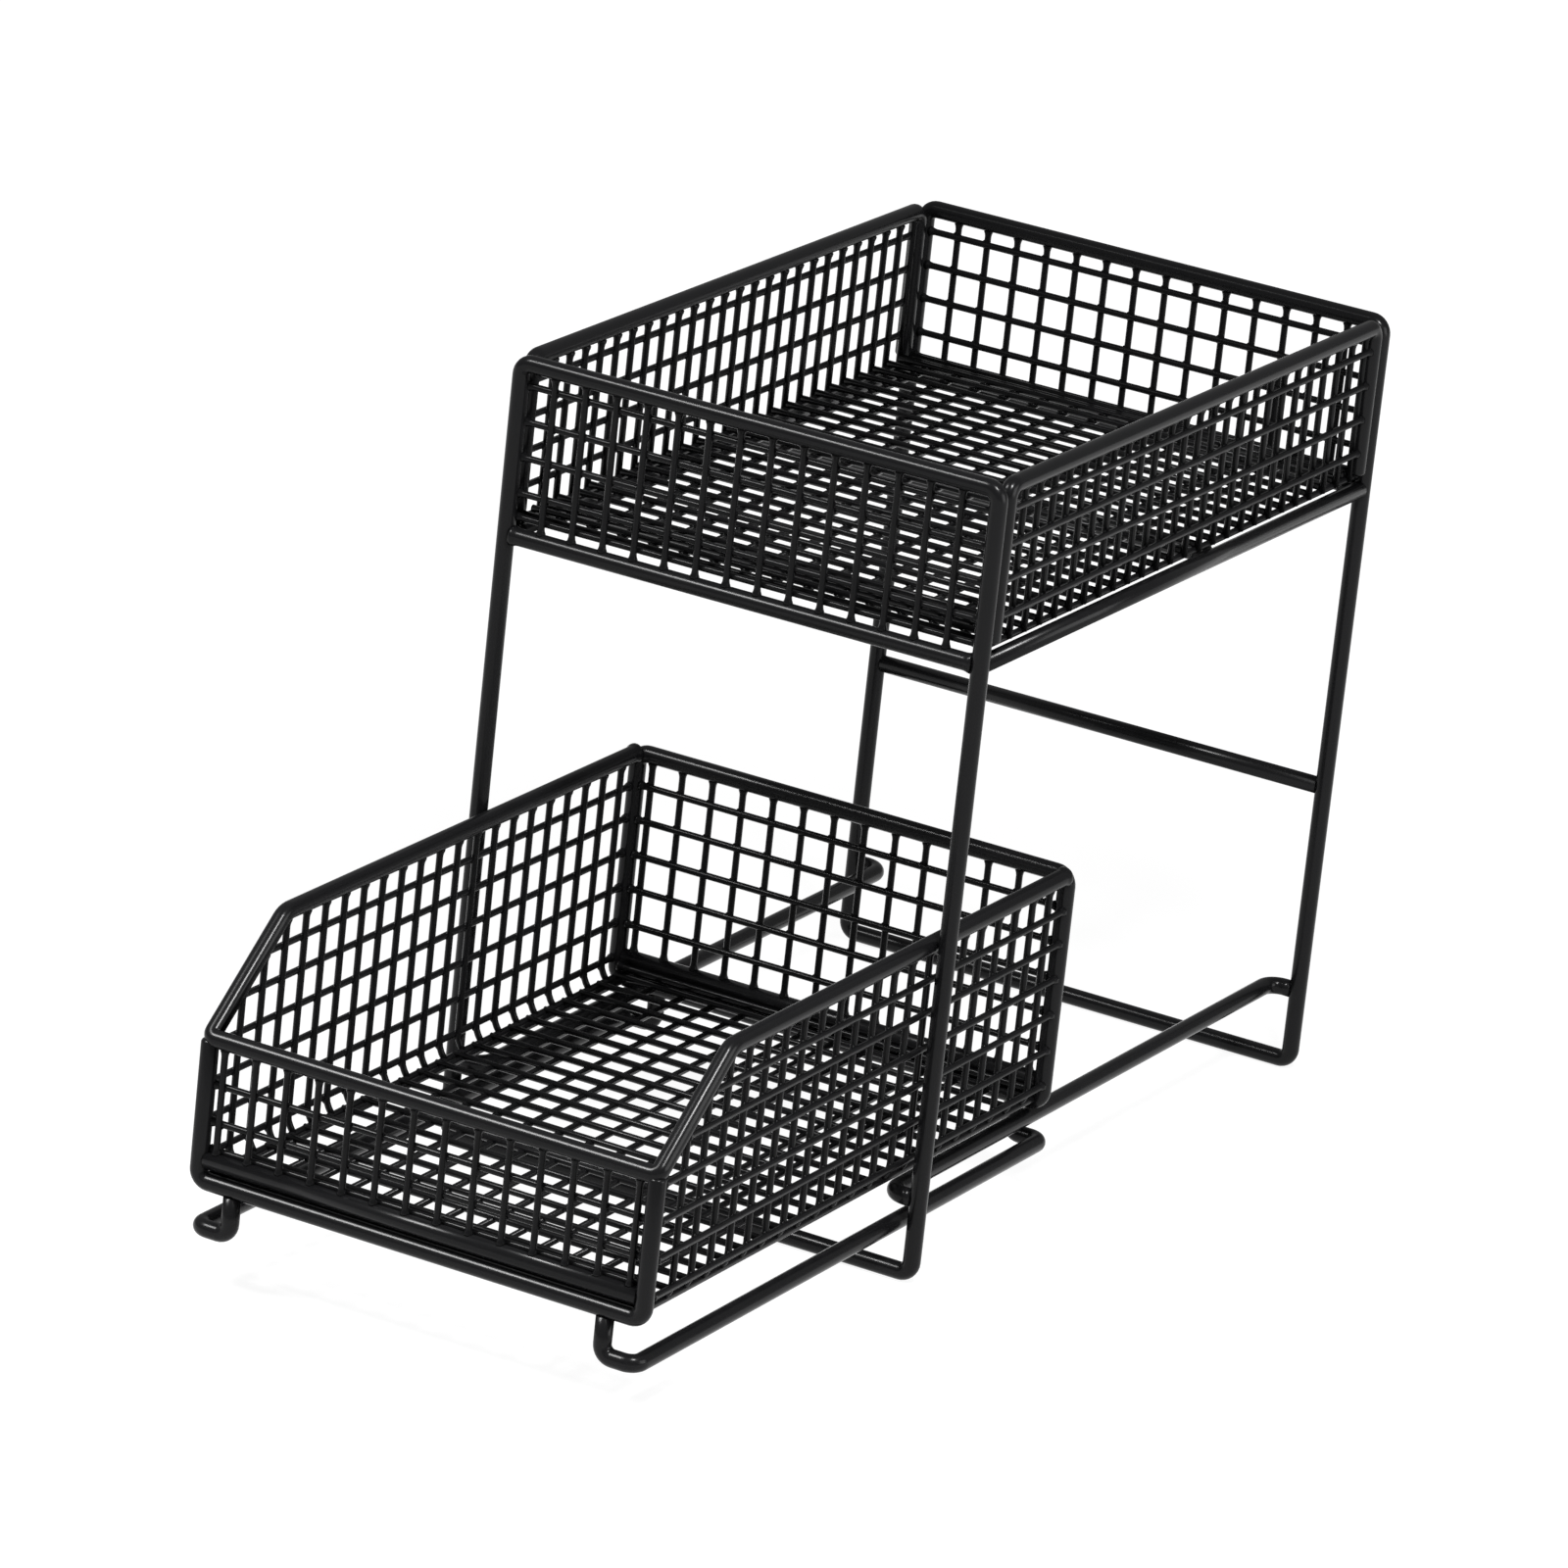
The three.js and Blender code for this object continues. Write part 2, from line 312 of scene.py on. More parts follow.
@dataclass
class Shape:
    """A mesh gathered from tubes and beads."""

    points: list[Vector] = field(default_factory=list)
    faces: list[tuple[int, ...]] = field(default_factory=list)

    def tube(
        self,
        route: WireRoute,
        radius: float,
        sides: int,
        ends: tuple[WireEnd, WireEnd] = (WireEnd.SUNK, WireEnd.SUNK),
    ) -> None:
        """Sweeps a round section along a route.

        Args:
            route: the centre line.
            radius: the wire's radius.
            sides: the number of sides of the section.
            ends: how an open wire starts and finishes.
        """
        stations = route.stations()
        if not route.closed:
            stations = self._finished(stations, radius, ends)
        first = len(self.points)
        count = len(stations)
        for station, normal in zip(stations, self._normals(stations)):
            beside = station.heading.cross(normal)
            for side in range(sides):
                angle = 2 * math.pi * (side + 0.5) / sides
                spoke = normal * math.cos(angle) + beside * math.sin(angle)
                self.points.append(station.point + spoke * (radius * station.girth))
        for ring in range(count if route.closed else count - 1):
            here = first + ring * sides
            there = first + (ring + 1) % count * sides
            for side in range(sides):
                other = (side + 1) % sides
                self.faces.append((here + side, here + other, there + other, there + side))
        if not route.closed:
            last = first + (count - 1) * sides
            self.faces.append(tuple(reversed(range(first, first + sides))))
            self.faces.append(tuple(range(last, last + sides)))

    def bead(self, centre: Vector, along: Vector, across: Vector, height: Vector, fill: float = 0.79) -> None:
        """Adds a lens of metal in the corners of two crossing wires.

        Args:
            centre: the middle of the crossing.
            along: half the lens along one wire.
            across: half the lens along the other wire.
            height: half its thickness.
            fill: reach on the diagonals, as a share of the reach along the wires.
        """
        first = len(self.points)
        for step in range(BEAD_POINTS):
            angle = 2 * math.pi * step / BEAD_POINTS
            reach = fill if step % 2 else 1.0
            self.points.append(centre + (along * math.cos(angle) + across * math.sin(angle)) * reach)
        self.points.extend((centre + height, centre - height))
        turned = along.cross(across).dot(height) > 0
        top, bottom = first + BEAD_POINTS, first + BEAD_POINTS + 1
        if not turned:
            top, bottom = bottom, top
        for step in range(BEAD_POINTS):
            here, beside = first + step, first + (step + 1) % BEAD_POINTS
            self.faces.append((here, beside, top))
            self.faces.append((beside, here, bottom))

    def to_object(self, name: str, material: bpy.types.Material) -> bpy.types.Object:
        """Makes a smooth-shaded object of the shape, in metres.

        Args:
            name: the object's name.
            material: its finish.

        Returns:
            The new object.
        """
        mesh = bpy.data.meshes.new(name)
        mesh.from_pydata([point * MM for point in self.points], [], self.faces)
        mesh.polygons.foreach_set("use_smooth", [True] * len(mesh.polygons))
        mesh.materials.append(material)
        mesh.update()
        made = bpy.data.objects.new(name, mesh)
        bpy.context.scene.collection.objects.link(made)
        return made

    @staticmethod
    def _finished(stations: list[Station], radius: float, ends: tuple[WireEnd, WireEnd]) -> list[Station]:
        """Shapes the two ends of an open wire."""
        start = [
            Station(stations[0].point + stations[0].heading * (radius * gone), stations[0].heading, girth)
            for gone, girth in ends[0].value
        ]
        finish = [
            Station(stations[-1].point - stations[-1].heading * (radius * gone), stations[-1].heading, girth)
            for gone, girth in reversed(ends[1].value)
        ]
        return start + stations[1:-1] + finish

    @staticmethod
    def _normals(stations: list[Station]) -> list[Vector]:
        """Normals carried along the route without twist."""
        heading = stations[0].heading
        seed = Z if abs(heading.z) < STEEP else X
        normal = (seed - heading * seed.dot(heading)).normalized()
        found = [normal]
        for before, station in zip(stations, stations[1:]):
            normal = before.heading.rotation_difference(station.heading) @ normal
            found.append((normal - station.heading * normal.dot(station.heading)).normalized())
        return found


@dataclass(frozen=True)
class MeshStock:
    """The welded mesh: its wire, the distance between its two layers and the metal in its crossings."""

    radius: float = 1.2
    layer: float = 1.1
    sides: int = 8
    quarter_steps: int = 6
    bead_reach: float = 2.5
    bead_height: float = 0.8

    def wire(
        self,
        shape: Shape,
        corners: Iterable[Vector],
        bend: float = 0.0,
        ends: tuple[WireEnd, WireEnd] = (WireEnd.MESH_WELD, WireEnd.MESH_WELD),
    ) -> None:
        """Adds one mesh wire to a shape.

        Args:
            shape: the shape that it joins.
            corners: its corners, or its two ends.
            bend: the radius of its bends.
            ends: how it starts and finishes.
        """
        route = WireRoute(tuple(corners), bend, quarter_steps=self.quarter_steps)
        shape.tube(route, self.radius, self.sides, ends)

    def crossing(self, shape: Shape, centre: Vector, along: Vector, across: Vector) -> None:
        """Adds the metal of one welded crossing.

        Args:
            shape: the shape that it joins.
            centre: the middle of the crossing.
            along: the unit direction of one wire.
            across: the unit direction of the other wire.
        """
        height = along.cross(across) * self.bead_height
        shape.bead(centre, along * self.bead_reach, across * self.bead_reach, height)


def at(x: float, y: float, z: float) -> Vector:
    """A point in millimetres."""
    return Vector((x, y, z))


def spread(middle: float, pitch: float, count: int) -> list[float]:
    """Evenly spaced places about a middle.

    Args:
        middle: the middle of all places.
        pitch: the distance from place to place.
        count: how many there are.

    Returns:
        The places, lowest first.
    """
    return [middle + pitch * (i - (count - 1) / 2) for i in range(count)]


def series(first: float, pitch: float, count: int) -> tuple[float, ...]:
    """Evenly spaced places from a first one on.

    Args:
        first: the first place.
        pitch: the step from place to place, negative where they go down.
        count: how many there are.

    Returns:
        The places, in order.
    """
    return tuple(first + pitch * i for i in range(count))


@dataclass(frozen=True)
class GrooveBead:
    """A weld bead in the groove between two upright wires, one behind the other: half its three sizes."""

    length: float
    width: float = 2.1
    depth: float = 1.6
    fill: float = 1.0

    def lens(self, centre: Vector) -> Lens:
        """The bead as the sizes of a lens about a point."""
        return centre, Z * self.length, X * self.width, Y * self.depth, self.fill


@dataclass(frozen=True)
class Finishes:
    """The coat of the thick wires, and a darker copy of it for the mesh whose lower tone is painted shade."""

    wire: bpy.types.Material
    mesh: bpy.types.Material


@dataclass
class Assembly:
    """A body of the object, built wire by wire. Butted wires reach into their neighbours by the sink."""

    finishes: Finishes
    body: Body = Body.RACK
    wire_radius: float = 3.1
    wire_sides: int = 24
    sink: float = 0.5
    mesh: MeshStock = MeshStock()
    sunk: tuple[WireEnd, WireEnd] = (WireEnd.SUNK, WireEnd.SUNK)

    def build(self) -> None:
        """Builds every piece of the body."""
        raise NotImplementedError

    def frame_wire(
        self,
        node: str,
        route: WireRoute,
        ends: tuple[WireEnd, WireEnd] = (WireEnd.BUTT_WELD, WireEnd.BUTT_WELD),
        beads: Iterable[Lens] = (),
        radius: float | None = None,
    ) -> None:
        """Builds a thick wire in place of its node.

        Args:
            node: the node that it replaces.
            route: its centre line.
            ends: how an open wire starts and finishes.
            beads: weld beads that belong to it.
            radius: its radius, where it isn't the frame wire's.
        """
        shape = Shape()
        shape.tube(route, radius or self.wire_radius, self.wire_sides, ends)
        for bead in beads:
            shape.bead(*bead)
        self.dress(shape, node, "wire", self.finishes.wire, Slot.WIRE)

    def dress(self, shape: Shape, node: str, word: str, material: bpy.types.Material, slot: Slot) -> None:
        """Turns a shape into a finished piece that stands for its node.

        Args:
            shape: the piece's shape.
            node: the node that it replaces.
            word: what is added to the node's name.
            material: its finish.
            slot: the record's slot of that finish; not used.
        """
        made = shape.to_object(f"{node}_{word}", material)
        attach(made, self.body.value)
        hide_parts(node)
        low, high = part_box(node)
        corners = [made.matrix_world @ Vector(corner) for corner in made.bound_box]
        off = max(
            max(abs(min(c[i] for c in corners) - low[i]), abs(max(c[i] for c in corners) - high[i]))
            for i in range(3)
        )
        LOG.info("%s: %d faces, box within %.2f mm of its node", made.name, len(shape.faces), off / MM)

    def upright_net(
        self,
        node: str,
        y: float,
        columns: Sequence[float],
        rows: Sequence[float],
        low: float,
        high: float,
        reach: float,
        facing: float,
        foot_row: Vector | None = None,
    ) -> None:
        """Builds a net across the object.

        Args:
            node: the node that it replaces.
            y: its plane.
            columns: the X of its upright wires.
            rows: the Z of its level wires.
            low: where the upright wires start.
            high: where they end.
            reach: half the length of the level wires.
            facing: 1 where the level wires lie behind the upright ones, -1 where in front of them.
            foot_row: the middle of one more level wire at their feet.
        """
        shape = Shape()
        level_y = y + self.mesh.layer * facing
        for x in columns:
            self.mesh.wire(shape, (at(x, y, low), at(x, y, high)))
        for z in rows:
            self.mesh.wire(shape, (at(-reach, level_y, z), at(reach, level_y, z)))
        if foot_row:
            self.mesh.wire(shape, (foot_row - X * reach, foot_row + X * reach))
        for x in columns:
            for z in rows:
                self.mesh.crossing(shape, at(x, (y + level_y) / 2, z), X, Z)
        self.dress(shape, node, "mesh", self.finishes.mesh, Slot.MESH)

    def floor_net(
        self,
        node: str,
        columns: Sequence[float],
        rows: Sequence[float],
        ends: tuple[float, float],
        reach: float,
        z: float,
        rise: float,
    ) -> None:
        """Builds a floor net: wires along the object with wires across lying on them.

        Args:
            node: the node that it replaces.
            columns: the X of the wires along.
            rows: the Y of the wires across.
            ends: where the wires along start and end.
            reach: half the length of the wires across.
            z: the level of the wires along.
            rise: how far above them the wires across lie.
        """
        shape = Shape()
        for x in columns:
            self.mesh.wire(shape, (at(x, ends[0], z), at(x, ends[1], z)), ends=self.sunk)
        for y in rows:
            self.mesh.wire(shape, (at(-reach, y, z + rise), at(reach, y, z + rise)), ends=self.sunk)
        for x in columns:
            for y in rows:
                self.mesh.crossing(shape, at(x, y, z + rise / 2), X, Y)
        self.dress(shape, node, "mesh", self.finishes.mesh, Slot.MESH)


@dataclass
class Rack(Assembly):
    """The stand with its fixed basket and the two slide rails."""

    leg_x: float = 92.0
    depth: float = 278.7
    floor_z: float = 3.1
    rim_z: float = 280.3
    lower_z: float = 219.6
    cross_bar_z: float = 107.6
    middle_bar_y: float = 166.0
    bend: float = 4.2
    beside: float = 6.2
    bead: GrooveBead = GrooveBead(4.2)
    bead_rise: float = 6.0
    bead_drop: float = 8.0
    rail_x: float = 80.6
    rail_z: float = 29.8
    rail_bend: float = 6.0
    column_pitch: float = 12.08
    column_count: int = 14
    upright_end_z: float = 226.1
    rows: tuple[float, ...] = (272.3, 259.7, 247.2, 234.55)
    side_rows: tuple[float, ...] = (271.7, 259.2, 246.8, 234.3)
    side_columns: tuple[float, ...] = series(first=19.7, pitch=10.36, count=25)
    side_inset: float = 0.8
    side_low_x: float = 90.1
    side_low_z: float = 224.4
    foot_row_z: float = 225.8
    foot_row_inset: float = 2.1
    floor_net_z: float = 224.7
    floor_rise: float = 1.7
    floor_reach: float = 90.0
    floor_edges: tuple[float, ...] = (4.9, 12.8, 266.2, 273.2)
    floor_ends: tuple[float, float] = (5.0, 273.7)

    def build(self) -> None:
        """Builds the stand, the basket's frames and its nets."""
        self._frames()
        for side in Side:
            self._side_frame(side)
            self._low_rail(side)
            self._rail(side)
        self._nets()
        for side in Side:
            self._side_net(side)

    def _loop(self, y: float) -> WireRoute:
        """A leg loop across the stand."""
        x = self.leg_x
        low, high = self.floor_z, self.rim_z
        corners = (at(-x, y, low), at(x, y, low), at(x, y, high), at(-x, y, high))
        return WireRoute(corners, self.bend, closed=True)

    def _bar(self, y: float, z: float) -> WireRoute:
        """A straight bar between the legs or the side frames."""
        reach = self.leg_x - self.wire_radius + self.sink
        return WireRoute((at(-reach, y, z), at(reach, y, z)))

    def _frames(self) -> None:
        """The two leg loops and the bars across."""
        self.frame_wire("front_frame", self._loop(0))
        self.frame_wire("rear_frame", self._loop(self.depth))
        self.frame_wire("rear_cross_bar", self._bar(self.depth, self.cross_bar_z), self.sunk)
        self.frame_wire("basket_front_bar", self._bar(0, self.lower_z))
        self.frame_wire("basket_rear_bar", self._bar(self.depth, self.lower_z), self.sunk)
        self.frame_wire("basket_middle_bar", self._bar(self.middle_bar_y, self.lower_z))

    def _side_frame(self, side: Side) -> None:
        """A side's top rail, turned down beside the legs, with weld beads in the groove between them."""
        x, low = side.value * self.leg_x, self.upright_end_z
        near, far = self.beside, self.depth - self.beside
        corners = (at(x, near, low), at(x, near, self.rim_z), at(x, far, self.rim_z), at(x, far, low))
        beads = [
            self.bead.lens(at(x, y, z))
            for y in (near / 2, self.depth - near / 2)
            for z in (low + self.bead_rise, self.rim_z - self.bead_drop)
        ]
        ends = (WireEnd.CUT, WireEnd.CUT)
        self.frame_wire(f"basket_{side.word}_frame", WireRoute(corners, self.bend), ends, beads)

    def _low_rail(self, side: Side) -> None:
        """A side's lower rail, straight from leg to leg."""
        x, butt = side.value * self.leg_x, self.wire_radius - self.sink
        corners = (at(x, butt, self.lower_z), at(x, self.depth - butt, self.lower_z))
        self.frame_wire(f"basket_{side.word}_low_rail", WireRoute(corners), self.sunk)

    def _rail(self, side: Side) -> None:
        """A slide rail with its ends bent outwards to the legs."""
        outer = side.value * (self.leg_x - self.wire_radius + self.sink)
        inner = side.value * self.rail_x
        corners = (
            at(outer, 0, self.rail_z),
            at(inner, 0, self.rail_z),
            at(inner, self.depth, self.rail_z),
            at(outer, self.depth, self.rail_z),
        )
        self.frame_wire(f"{side.word}_slide_rail", WireRoute(corners, self.rail_bend), self.sunk)

    def _nets(self) -> None:
        """The front, rear and floor nets of the basket."""
        columns = spread(0, self.column_pitch, self.column_count)
        inside = self.wire_radius - self.sink
        reach = self.leg_x - inside
        low, high = self.lower_z + inside, self.rim_z - inside
        inset, foot = self.foot_row_inset, self.foot_row_z
        for node, y, facing in (("basket_front_net", 0, 1), ("basket_rear_net", self.depth, -1)):
            foot_row = at(0, y + inset * facing, foot)
            self.upright_net(node, y, columns, self.rows, low, high, reach, facing, foot_row)
        self.floor_net(
            "basket_floor_net",
            columns,
            sorted((*self.side_columns, *self.floor_edges)),
            self.floor_ends,
            self.floor_reach,
            self.floor_net_z,
            self.floor_rise,
        )

    def _side_net(self, side: Side) -> None:
        """A side net whose upright wires end on a wire along the floor's edge."""
        shape = Shape()
        inside = self.wire_radius - self.sink
        x = side.value * (self.leg_x - self.side_inset)
        outer = x + side.value * self.mesh.layer
        inner, low = side.value * self.side_low_x, self.side_low_z
        near, far = self.beside + inside, self.depth - self.beside - inside
        for y in self.side_columns:
            corners = (at(x, y, self.rim_z - inside), at(x, y, low))
            self.mesh.wire(shape, corners, ends=(WireEnd.MESH_WELD, WireEnd.SUNK))
        for z in self.side_rows:
            self.mesh.wire(shape, (at(outer, near, z), at(outer, far, z)))
        self.mesh.wire(shape, (at(inner, inside, low), at(inner, self.depth - inside, low)))
        for y in self.side_columns:
            for z in self.side_rows:
                self.mesh.crossing(shape, at((x + outer) / 2, y, z), Y, Z)
        self.dress(shape, f"basket_{side.word}_net", "mesh", self.finishes.mesh, Slot.MESH)


@dataclass
class Drawer(Assembly):
    """The mesh drawer with its slanted front and the runners under it."""

    body: Body = Body.DRAWER
    side_x: float = 85.5
    front_y: float = -171.5
    rear_y: float = 96.0
    low_z: float = 36.3
    floor_bar_z: float = 43.8
    front_rim_z: float = 86.2
    rim_z: float = 119.6
    slant_run: float = 39.7
    bend: float = 4.2
    slant_bend: float = 8.0
    rim_bend: float = 2.6
    runner_x: float = 84.2
    runner_z: float = 20.0
    foot_x: float = 71.7
    beside: float = 6.2
    bead: GrooveBead = GrooveBead(2.4)
    bead_drop: float = 0.6
    edge_radius: float = 1.4
    edge_x: float = 82.7
    edge_z: float = 37.5
    column_pitch: float = 12.22
    column_count: int = 14
    front_rows: tuple[float, ...] = (70.1, 57.1)
    rear_rows: tuple[float, ...] = (108.07, 95.27, 82.37, 69.6, 56.55)
    side_rows: tuple[float, ...] = (107.15, 95.35, 82.45, 69.4, 56.3, 43.25)
    side_columns: tuple[float, ...] = series(first=84.4, pitch=-11.92, count=21)
    fold_start: float = 41.8
    fold_bend: float = 7.0
    side_inset: float = 0.18
    floor_net_z: float = 37.45
    floor_rise: float = 1.1
    floor_rows: tuple[float, ...] = (-167.6, *series(first=90.2, pitch=-11.87, count=22))
    front_foot: tuple[float, float] = (-169.5, 47.0)
    rear_foot: tuple[float, float] = (92.1, 41.6)

    def build(self) -> None:
        """Builds the drawer's frame, runners and nets."""
        self._frame()
        for side in Side:
            self._edge(side)
            self._runner(side)
        self._nets()
        for side in Side:
            self._side_net(side)

    def _frame(self) -> None:
        """The rim wire, the front and rear frames and the floor bars."""
        x, sink = self.side_x, self.sink
        butt = self.wire_radius - sink
        slant_y = self.front_y + self.slant_run
        rim = (
            at(-x, self.rear_y - butt, self.rim_z),
            at(-x, slant_y, self.rim_z),
            at(-x, self.front_y, self.front_rim_z),
            at(x, self.front_y, self.front_rim_z),
            at(x, slant_y, self.rim_z),
            at(x, self.rear_y - butt, self.rim_z),
        )
        bends = (0.0, self.slant_bend, self.rim_bend, self.rim_bend, self.slant_bend, 0.0)
        self.frame_wire("drawer_top_wire", WireRoute(rim, bends))
        post = self.front_rim_z - sink
        front = (
            at(-x, self.front_y, post),
            at(-x, self.front_y, self.low_z),
            at(x, self.front_y, self.low_z),
            at(x, self.front_y, post),
        )
        self.frame_wire("drawer_front_wire", WireRoute(front, self.bend), (WireEnd.CUT, WireEnd.CUT))
        rear = (
            at(-x, self.rear_y, self.low_z),
            at(x, self.rear_y, self.low_z),
            at(x, self.rear_y, self.rim_z),
            at(-x, self.rear_y, self.rim_z),
        )
        self.frame_wire("drawer_rear_frame", WireRoute(rear, self.bend, closed=True))
        reach = x - butt
        for node, y in (("drawer_front_floor_bar", self.front_y), ("drawer_rear_floor_bar", self.rear_y)):
            bar = (at(-reach, y, self.floor_bar_z), at(reach, y, self.floor_bar_z))
            self.frame_wire(node, WireRoute(bar), self.sunk)

    def _edge(self, side: Side) -> None:
        """The thinner wire along a lower edge."""
        x = side.value * self.edge_x
        butt = self.wire_radius - self.sink
        corners = (at(x, self.front_y + butt, self.edge_z), at(x, self.rear_y - butt, self.edge_z))
        self.frame_wire(f"drawer_{side.word}_floor_wire", WireRoute(corners), radius=self.edge_radius)

    def _runner(self, side: Side) -> None:
        """A runner under the rail: a front foot under the lowest bar and a rear foot behind the bars."""
        foot = side.value * self.foot_x
        out = side.value * self.runner_x
        rear = self.rear_y + self.beside
        corners = (
            at(foot, self.front_y, self.low_z - self.wire_radius + self.sink),
            at(foot, self.front_y, self.runner_z),
            at(out, self.front_y, self.runner_z),
            at(out, rear, self.runner_z),
            at(foot, rear, self.runner_z),
            at(foot, rear, self.floor_bar_z),
        )
        beads = [
            self.bead.lens(at(foot, rear - self.beside / 2, z))
            for z in (self.low_z, self.floor_bar_z - self.bead_drop)
        ]
        ends = (WireEnd.SUNK, WireEnd.CUT)
        self.frame_wire(f"drawer_{side.word}_runner", WireRoute(corners, self.bend), ends, beads)

    def _nets(self) -> None:
        """The front, rear and floor nets."""
        columns = spread(0, self.column_pitch, self.column_count)
        inside = self.wire_radius - self.sink
        reach = self.side_x - inside
        low = self.floor_bar_z + inside
        self.upright_net(
            "drawer_front_net",
            self.front_y,
            columns,
            self.front_rows,
            low,
            self.front_rim_z - inside,
            reach,
            1,
            at(0, *self.front_foot),
        )
        self.upright_net(
            "drawer_rear_net",
            self.rear_y,
            columns,
            self.rear_rows,
            low,
            self.rim_z - inside,
            reach,
            -1,
            at(0, *self.rear_foot),
        )
        ends = (self.front_y + inside, self.rear_y - inside)
        self.floor_net(
            "drawer_floor_net", columns, self.floor_rows, ends, self.edge_x, self.floor_net_z, self.floor_rise
        )

    def _side_net(self, side: Side) -> None:
        """A side net that follows the slanted rim and turns in at the bottom to the edge wire."""
        shape = Shape()
        inside = self.wire_radius - self.sink
        x = side.value * (self.side_x - self.side_inset)
        outer = x + side.value * self.mesh.layer
        fold = side.value * self.edge_x
        slant = math.atan2(self.rim_z - self.front_rim_z, self.slant_run)
        rise = math.tan(slant)
        below = inside / math.cos(slant)
        far = self.rear_y - inside

        def top(y: float) -> float:
            """Where an upright wire meets the rim."""
            return min(self.rim_z - inside, self.front_rim_z + (y - self.front_y) * rise - below)

        for y in self.side_columns:
            corners = (at(x, y, top(y)), at(x, y, self.fold_start), at(fold, y, self.edge_z + self.sink))
            self.mesh.wire(shape, corners, self.fold_bend, (WireEnd.MESH_WELD, WireEnd.SUNK))
        for z in self.side_rows:
            slanted = self.front_y + (z + below - self.front_rim_z) / rise
            near = max(self.front_y + inside, slanted)
            self.mesh.wire(shape, (at(outer, near, z), at(outer, far, z)))
            for y in self.side_columns:
                if y > near + self.wire_radius:
                    self.mesh.crossing(shape, at((x + outer) / 2, y, z), Y, Z)
        self.dress(shape, f"drawer_{side.word}_net", "mesh", self.finishes.mesh, Slot.MESH)


@dataclass(frozen=True)
class Lamp:
    """A soft rectangular lamp aimed at a point, its first side turned along X.

    Places and sizes are in metres, the power in watts and the spread of its beam in radians.
    """

    name: str
    place: tuple[float, float, float]
    aim: tuple[float, float, float]
    size: tuple[float, float]
    power: float
    spread: float = math.pi

    def build(self) -> None:
        """Adds the lamp to the scene."""
        light = bpy.data.lights.new(self.name, "AREA")
        light.shape = "RECTANGLE"
        light.size, light.size_y = self.size
        light.energy = self.power
        light.spread = self.spread
        made = bpy.data.objects.new(self.name, light)
        back = (Vector(self.place) - Vector(self.aim)).normalized()
        side = (X - back * back.x).normalized()
        turn = Matrix((side, back.cross(side), back)).transposed()
        made.matrix_world = Matrix.Translation(self.place) @ turn.to_4x4()
        bpy.context.scene.collection.objects.link(made)
        LOG.info("%s: %.2f W", self.name, self.power)


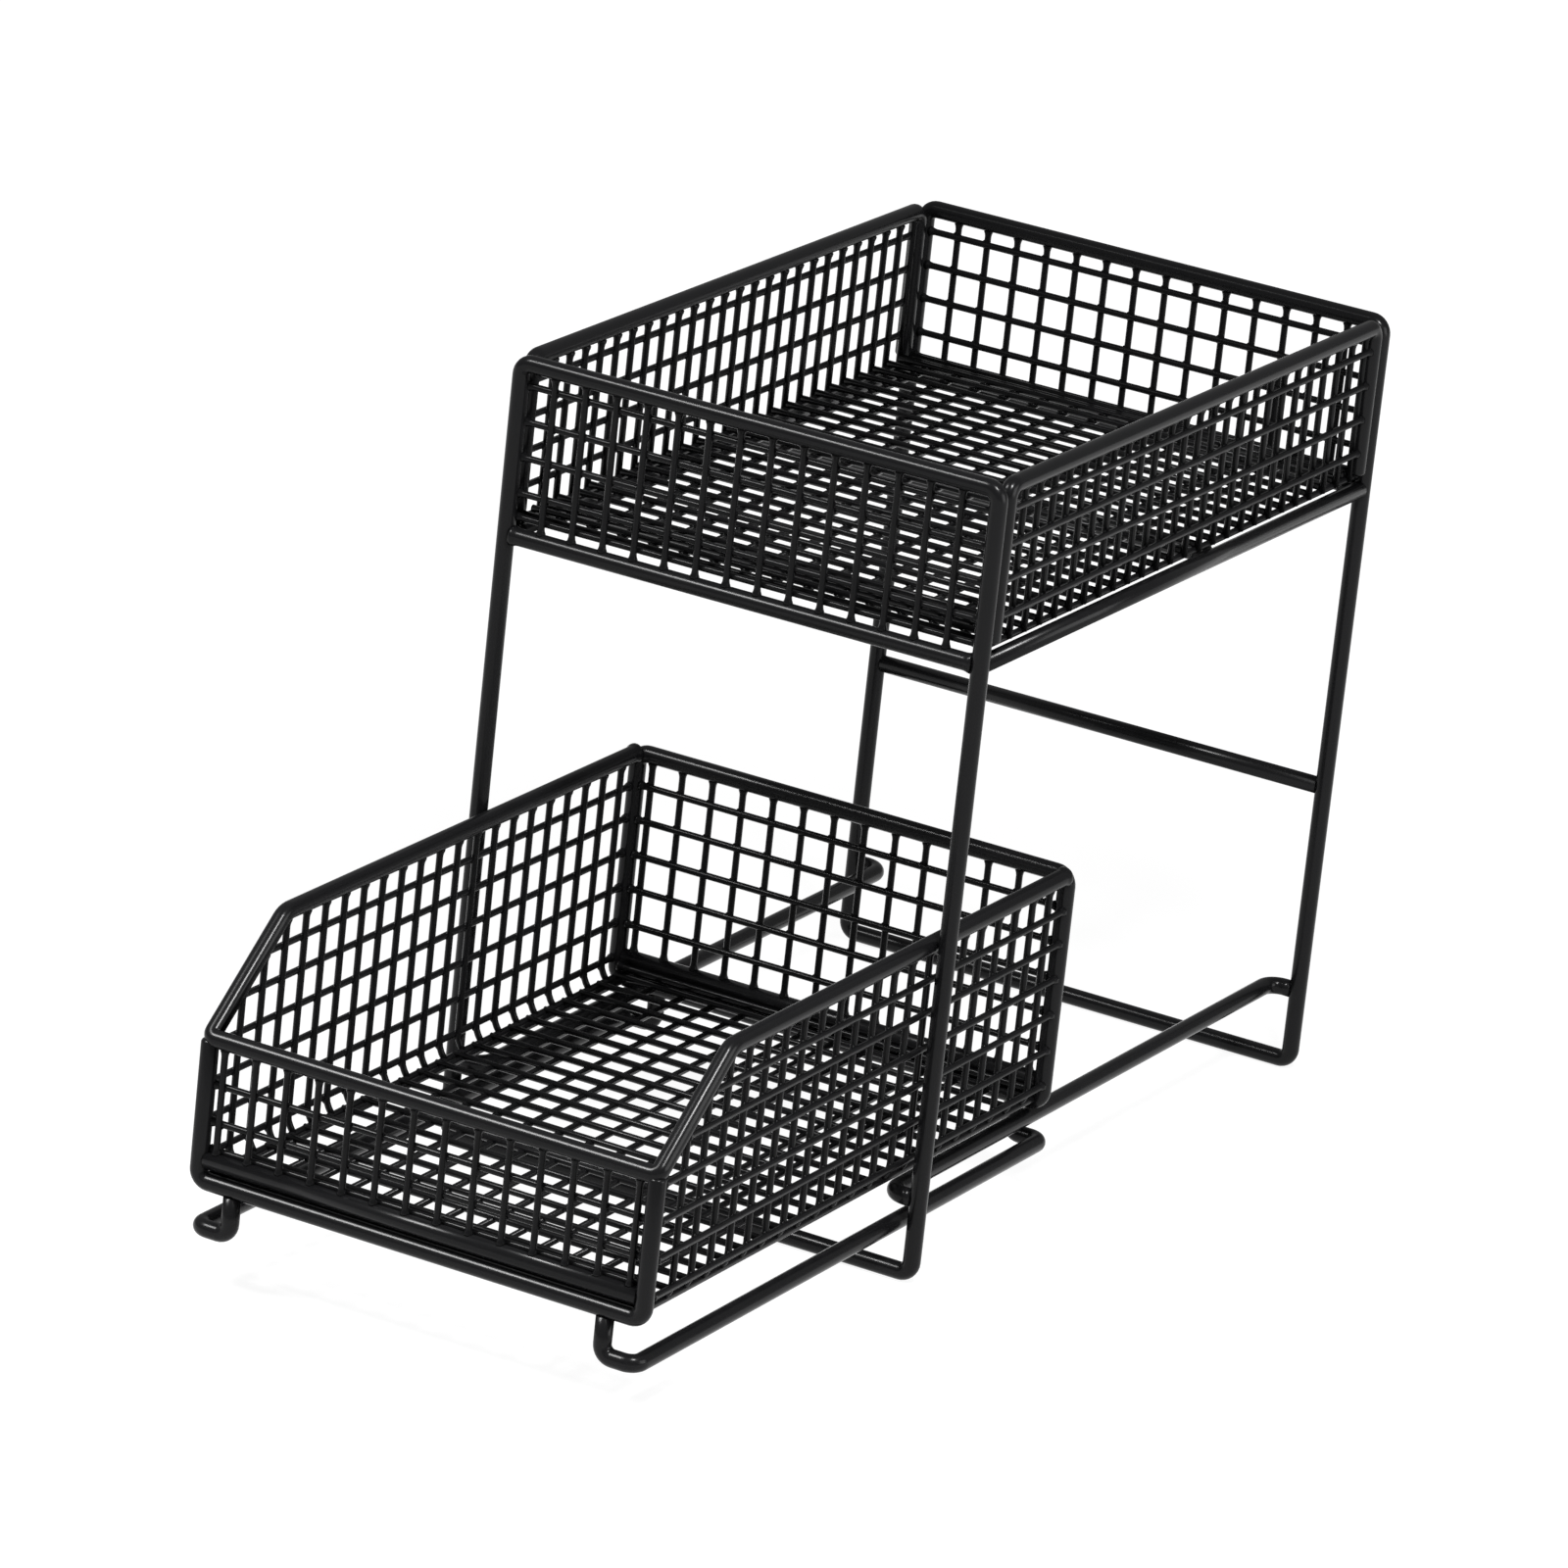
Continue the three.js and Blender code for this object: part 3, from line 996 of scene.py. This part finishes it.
@dataclass
class Studio:
    """A pale floor, soft lamps and the camera of the photograph.

    Places and sizes are in metres, angles in radians, the focal length in pixels of the photograph
    and the sensor in millimetres. The lamps are set by the photograph's highlights and are brighter
    than a plain level.
    """

    floor_half: float = 12.0
    floor_drop: float = 0.0002
    floor_tone: float = 0.8
    floor_white: float = 0.84
    floor_glow: float = 1.09
    shadow_reach: tuple[float, float] = (0.35, 0.8)
    fill: float = 0.3
    azimuth: float = 0.490267870
    elevation: float = 0.331171989
    roll: float = 0.108130961
    focal: float = 10157.9029
    frame_pixels: float = 1600.0
    sensor: float = 36.0
    view_depth: float = 100.0
    target: tuple[float, float, float] = (0.0, 0.0368, 0.1319)
    distance: float = 3.3749
    aside: float = 0.003857
    above: float = 0.012598
    lamps: tuple[Lamp, ...] = (
        Lamp(
            name="key_lamp",
            place=(-0.57, -0.66, 1.13),
            aim=(0.0, -0.14, 0.11),
            size=(0.55, 0.42),
            power=1.15,
            spread=math.radians(27),
        ),
        Lamp(
            name="top_lamp",
            place=(0.58, -0.385, 1.24),
            aim=(0.0, -0.155, 0.10),
            size=(0.19, 0.19),
            power=18.0,
        ),
        Lamp(
            name="right_lamp",
            place=(1.3, 0.15, 0.55),
            aim=(0.0, 0.05, 0.12),
            size=(0.7, 0.8),
            power=8.0,
        ),
    )

    def build(self) -> None:
        """Builds the floor, the world, the lamps and the camera."""
        self._floor()
        self._world()
        for lamp in self.lamps:
            lamp.build()
        self._camera()
        bpy.context.scene.view_settings.view_transform = "Standard"

    @staticmethod
    def _seen(bench: NodeBench) -> Signal:
        """One for rays that show the surroundings directly or in a reflection, else nought."""
        path = bench.node("ShaderNodeLightPath")
        camera, glossy, clear = (
            Signal(bench, path.outputs[f"Is {word} Ray"]) for word in ("Camera", "Glossy", "Transmission")
        )
        return (camera + glossy + clear).at_most(1.0)

    def _floor(self) -> None:
        """A large plain floor, white to the eye, that keeps a soft shadow."""
        half = self.floor_half
        mesh = bpy.data.meshes.new("studio_floor")
        corners = [(-half, -half, 0), (half, -half, 0), (half, half, 0), (-half, half, 0)]
        mesh.from_pydata(corners, [], [(0, 1, 2, 3)])
        floor = bpy.data.objects.new("studio_floor", mesh)
        floor.location.z = -self.floor_drop
        bpy.context.scene.collection.objects.link(floor)
        made = bpy.data.materials.new("pale_floor")
        made.use_nodes = True
        bench = NodeBench(made.node_tree)
        tone = self.floor_tone
        paint = bench.signal("ShaderNodeBsdfDiffuse", 0, None, {"Color": (tone, tone, tone, 1.0)})
        glow = bench.signal("ShaderNodeEmission", 0, None, {"Color": WHITE, "Strength": self.floor_glow})
        place = bench.signal("ShaderNodeTexCoord", "Object")
        away = bench.signal("ShaderNodeVectorMath", "Value", {"operation": "LENGTH"}, {0: place})
        near, far = self.shadow_reach
        share = bench.signal(
            "ShaderNodeMapRange",
            "Result",
            {"interpolation_type": "SMOOTHSTEP"},
            {"Value": away, "From Min": near, "From Max": far, "To Min": self.floor_white, "To Max": 1.0},
        )
        seen = self._seen(bench)
        mixed = bench.signal("ShaderNodeMixShader", 0, None, {0: seen * share, 1: paint, 2: glow})
        bench.node("ShaderNodeOutputMaterial", None, {"Surface": mixed})
        mesh.materials.append(made)

    def _world(self) -> None:
        """A plain surround that lights the object with a weak even fill."""
        world = bpy.data.worlds.new("studio_world")
        bpy.context.scene.world = world
        world.use_nodes = True
        bench = NodeBench(world.node_tree)
        light = bench.signal("ShaderNodeBackground", 0, None, {"Color": WHITE, "Strength": self.fill})
        bench.node("ShaderNodeOutputWorld", None, {"Surface": light})

    def _camera(self) -> None:
        """The photograph's viewpoint."""
        cos_el = math.cos(self.elevation)
        ahead = Vector(
            (-math.sin(self.azimuth) * cos_el, math.cos(self.azimuth) * cos_el, -math.sin(self.elevation))
        )
        right = Vector((math.cos(self.azimuth), math.sin(self.azimuth), 0.0))
        up = right.cross(ahead)
        place = Vector(self.target) - ahead * self.distance + right * self.aside + up * self.above
        side = right * math.cos(self.roll) + up * math.sin(self.roll)
        top = up * math.cos(self.roll) - right * math.sin(self.roll)
        data = bpy.data.cameras.new("photo_camera")
        data.sensor_width = self.sensor
        data.lens = self.focal / self.frame_pixels * self.sensor
        data.clip_end = self.view_depth
        made = bpy.data.objects.new("photo_camera", data)
        turn = Matrix((side, top, -ahead)).transposed()
        made.matrix_world = Matrix.Translation(place) @ turn.to_4x4()
        bpy.context.scene.collection.objects.link(made)
        bpy.context.scene.camera = made


def main() -> None:
    """Builds the object and its studio."""
    logging.basicConfig(level=logging.INFO, format="%(message)s")
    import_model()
    finishes = Finishes(
        wire=PowderCoat(
            name="black_wire_coat",
            deep=(0.004, 0.004, 0.0044, 1.0),
            pale=(0.006, 0.006, 0.0064, 1.0),
            low_roughness=0.21,
            high_roughness=0.25,
            specular=0.14,
        ).material(),
        # The mesh coat is the wire coat made darker: its lower tone is painted shade for the mesh, which lies
        # inside the rack and gets less light.
        mesh=PowderCoat(
            name="black_mesh_coat_with_painted_shade",
            deep=(0.003, 0.003, 0.0033, 1.0),
            pale=(0.005, 0.005, 0.0053, 1.0),
            low_roughness=0.24,
            high_roughness=0.29,
            specular=0.11,
        ).material(),
    )
    for part in (Rack(finishes), Drawer(finishes), Studio()):
        part.build()


if __name__ == "__main__":
    main()
